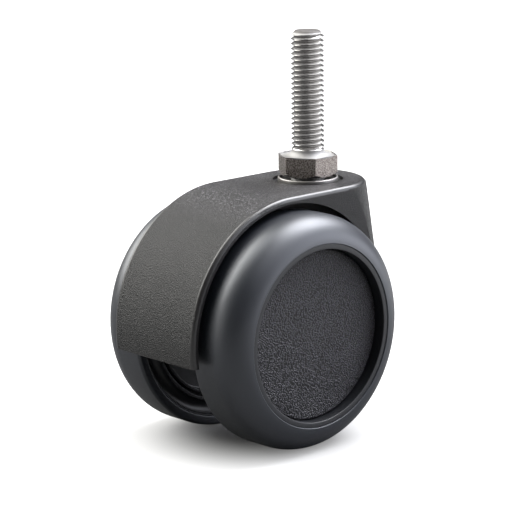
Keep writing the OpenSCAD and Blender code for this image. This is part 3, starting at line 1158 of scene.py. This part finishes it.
@dataclass
class Studio:
    """The floor, the soft lights and the camera, placed about the axle.

    Angles are in degrees and lengths in millimetres. The floor has one tone for light and one
    for the camera. A pair of a painted shadow or painted reflection is a distance and the floor's
    glow there: the camera sees a painted shadow, a glow that is low near the axle and full further
    out; shiny surfaces see a painted reflection, dark near the castor and bright far to one side.
    """

    centre: Vector
    floor_z: float
    azimuth: float = -43.02
    elevation: float = 13.15
    roll: float = -0.55
    distance: float = 705.13
    focal: float = 161.88
    aside: float = 3.13
    above: float = 16.34
    near_clip: float = 10.0
    floor_size: float = 8000.0
    floor_cells: int = 8
    floor_tone: tuple[float, float] = (0.155, 0.27)
    painted_shadow_near: tuple[float, float] = (8.0, 0.0)
    painted_shadow_far: tuple[float, float] = (50.0, 0.8)
    painted_reflection_near: tuple[float, float] = (85.0, 0.0)
    painted_reflection_far: tuple[float, float] = (280.0, 0.95)
    painted_reflection_side: float = -44.0
    wall_level: float = 0.09
    cool: Colour = (0.90, 0.915, 1.0, 1)
    warm: Colour = (1.0, 0.99, 0.95, 1)
    warm_side: tuple[float, float] = (130.0, 20.0)
    warm_reach: float = 0.7
    panels: tuple[Panel, ...] = (
        Panel(-8.0, 54.0, 11.0, 26.0, 20.0),
        Panel(-38.0, 3.0, 14.0, 34.0, 5.0),
        Panel(-52.0, 26.0, 10.0, 30.0, 3.0),
        Panel(113.0, 39.0, 16.0, 34.0, 9.5),
        Panel(115.0, 72.0, 6.0, 24.0, 5.4),
        Panel(150.0, 4.0, 8.0, 28.0, 2.0),
        Panel(-80.0, 50.0, 12.0, 30.0, 1.8),
    )

    def floor(self) -> None:
        """Adds the pale floor, which keeps the real shadow and has a painted shadow round the axle:
        its glow to the camera is low there and rises to white further out.
        """
        Bench.clear()
        bpy.ops.mesh.primitive_grid_add(
            x_subdivisions=self.floor_cells, y_subdivisions=self.floor_cells,
            size=self.floor_size * MM, location=(0, 0, self.floor_z))
        floor = bpy.context.active_object
        floor.name = "pale_floor"
        recipe = Recipe("pale_floor")
        path = recipe.add("LightPath").outputs
        own = recipe.place(Vector((self.centre.x, self.centre.y, 0)))
        reach = recipe.vector("LENGTH", own).outputs["Value"]
        aside = recipe.vector("DOT_PRODUCT", own, toward(self.painted_reflection_side, 0)).outputs["Value"]
        # Painted shadow: the glow the camera sees is nil near the axle and rises to its full level
        # further out, so the floor shows darker round the wheels.
        direct = self.fade(recipe, reach, self.painted_shadow_near, self.painted_shadow_far)
        # Painted reflection and painted shade: shiny surfaces see the floor glow, dark near the
        # castor and bright far off to one side.
        painted_reflection = self.fade(recipe, aside, self.painted_reflection_near, self.painted_reflection_far)
        painted_reflection_seen = recipe.math("MULTIPLY", path["Is Glossy Ray"], painted_reflection)
        glow = recipe.math("MULTIPLY_ADD", path["Is Camera Ray"], direct, painted_reflection_seen)
        tone = recipe.ramp(path["Is Camera Ray"], To_Min=self.floor_tone[0],
                           To_Max=self.floor_tone[1])
        recipe.shade(Base_Color=tone, Roughness=1.0, Specular_IOR_Level=0.0,
                     Emission_Color=(1, 1, 1, 1), Emission_Strength=glow)
        dress(floor, recipe.material)

    @staticmethod
    def fade(recipe: Recipe, distance: Socket, near: tuple[float, float],
             far: tuple[float, float]) -> Socket:
        """Eases from the light of a near distance to that of a far one."""
        return recipe.ramp(distance, smooth=True, From_Min=near[0] * MM, From_Max=far[0] * MM,
                           To_Min=near[1], To_Max=far[1])

    def world(self) -> None:
        """Lights the room evenly, keeps the background white and hangs the panels in it."""
        world = bpy.data.worlds.new("white_room")
        bpy.context.scene.world = world
        world.use_nodes = True
        nodes = Nodes(world.node_tree)
        nodes.tree.nodes.clear()
        direct = nodes.add("LightPath").outputs["Is Camera Ray"]
        direction = nodes.add("TexCoord").outputs["Generated"]
        shown: object = self.wall_level
        for panel in self.panels:
            hung = toward(panel.azimuth, panel.elevation)
            facing = nodes.vector("DOT_PRODUCT", direction, hung).outputs["Value"]
            glow = nodes.ramp(facing, smooth=True, From_Min=cos(radians(panel.fade_angle)),
                              From_Max=cos(radians(panel.core_angle)), To_Max=panel.level)
            shown = nodes.math("MAXIMUM", shown, glow)
        strength = nodes.math("MULTIPLY_ADD", nodes.math("SUBTRACT", 1.0, direct), shown, direct)
        side = nodes.vector("DOT_PRODUCT", direction, toward(*self.warm_side)).outputs["Value"]
        warmth = nodes.ramp(side, From_Min=-self.warm_reach, From_Max=self.warm_reach)
        white = nodes.blend(direct, nodes.blend(warmth, self.cool, self.warm), (1, 1, 1, 1))
        background = nodes.add("Background", Color=white, Strength=strength)
        nodes.add("OutputWorld", Surface=background.outputs[0])

    def camera(self) -> None:
        """Places the camera at the photograph's angle."""
        turn, lift, roll = radians(self.azimuth), radians(self.elevation), radians(self.roll)
        back = Vector((sin(turn) * cos(lift), -cos(turn) * cos(lift), sin(lift)))
        right = Vector((0, 0, 1)).cross(back).normalized()
        up = back.cross(right)
        across = right * cos(roll) + up * sin(roll)
        upright = up * cos(roll) - right * sin(roll)
        data = bpy.data.cameras.new("product_camera")
        data.lens = self.focal
        data.clip_start = self.near_clip * MM
        camera = bpy.data.objects.new("product_camera", data)
        bpy.context.scene.collection.objects.link(camera)
        offset = back * self.distance + across * self.aside + upright * self.above
        turned = Matrix((across, upright, back)).transposed().to_4x4()
        turned.translation = self.centre + offset * MM
        camera.matrix_world = turned
        bpy.context.scene.camera = camera

    def build(self) -> None:
        """Builds the whole studio."""
        bpy.context.scene.view_settings.view_transform = "Standard"
        self.floor()
        self.world()
        self.camera()


def main() -> None:
    """Builds and dresses the castor, then the studio round it."""
    logging.basicConfig(level=logging.INFO, format="%(name)s: %(message)s")
    effects = Effects.build()
    wheels = [Wheel.from_frame(side) for side in Side]
    centre = wheels[0].centre
    housing_plastic = SparkedPlastic().build(effects)
    rubbed_plastic = SparkedPlastic(name="rubbed_housing_plastic", light=(0.02, 0.019, 0.02, 1),
                                    grain_depth=0.03, smoothest=0.32, roughest=0.38, dust_and_glint_amount=0.0,
                                    ior=1.6).build(effects)
    tread = SoftTread().build(effects)
    core_plastic = CorePlastic(centre).build(effects)
    cap_plastic = PebbledPlastic().build(effects)
    turned_steel = TurnedSteel().build(effects)
    faced_steel = TurnedSteel(name="faced_steel", bright=(0.34, 0.336, 0.332, 1), smoothest=0.62,
                              roughest=0.78).build(effects)
    drawn_steel = DrawnSteel().build(effects)
    zinced_steel = ZincedSteel().build(effects)

    ring_low, ring_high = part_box("stem_retaining_ring")
    stem = Stem()
    built_stem = stem.build(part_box("stem")[0].z / MM, (ring_low.z + ring_high.z) / 2 / MM)
    stem.finish_faces(built_stem, turned_steel, drawn_steel, faced_steel)
    hand_over(built_stem, "stem", "stem_steel", "stem")

    sleeve = Sleeve()
    built_sleeve = sleeve.build()
    sleeve.finish_faces(built_sleeve, zinced_steel, PaintedRimShade().build(effects))
    hand_over(built_sleeve, "housing", "bush_steel", "swivel_bush")

    housing = Housing()
    built_housing = housing.build()
    housing.finish_faces(built_housing, housing_plastic, rubbed_plastic)
    hand_over(built_housing, "housing", "housing_plastic", "housing")

    for wheel in wheels:
        for piece, finish, slot, node in (
                (wheel.tyre(), tread, "tyre_elastomer", "tyre_"),
                (wheel.core(), core_plastic, "core_plastic", "wheel_core_"),
                (wheel.cap(), cap_plastic, "cap_plastic", "wheel_cap_")):
            dress(piece, finish)
            hand_over(piece, "wheel_" + wheel.side.word, slot, node + wheel.side.word)

    for name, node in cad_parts.items():
        if not node.hide_render:
            dress(node, zinced_steel)
            log.info("%s keeps its shape", name)

    floor_z = centre.z - wheels[0].radius * MM
    Studio(centre, floor_z).build()


if __name__ == "__main__":
    main()
